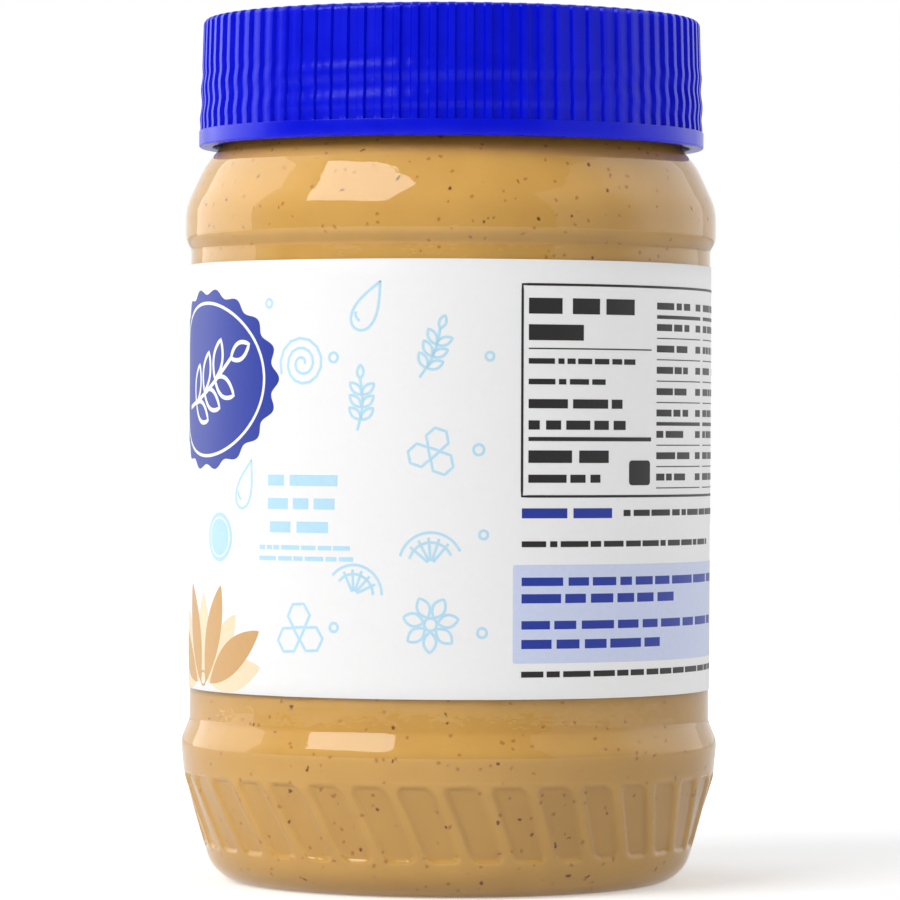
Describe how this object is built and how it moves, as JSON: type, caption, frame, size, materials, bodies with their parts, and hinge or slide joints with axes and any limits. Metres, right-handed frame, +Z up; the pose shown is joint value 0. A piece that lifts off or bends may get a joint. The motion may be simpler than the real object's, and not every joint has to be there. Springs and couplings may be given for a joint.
{
  "type": "peanut butter jar",
  "caption": "Shut clear screw-top jar of smooth nut spread with a beaded shoulder, fluted foot, plain wrap-round label and ribbed blue lid; stands on its base.",
  "frame": {"origin": "middle of the standing ring, on the surface the jar stands on", "axes": "+Z up along the jar's axis; the side seen first faces -Y, with +X to its right"},
  "size_m": [0.0762, 0.0762, 0.1223],
  "materials": {
    "clear_plastic": "thin clear blown plastic, glossy",
    "blue_lid": "moulded saturated blue plastic, glossy",
    "white_label": "smooth white coated label stock printed in blues",
    "nut_spread": "tan nut spread with fine darker specks, smooth against the wall"
  },
  "bodies": {
    "root": {"jar": "clear_plastic", "lid": "blue_lid", "label": "white_label", "peanut_butter": "nut_spread"}
  },
  "joints": []
}
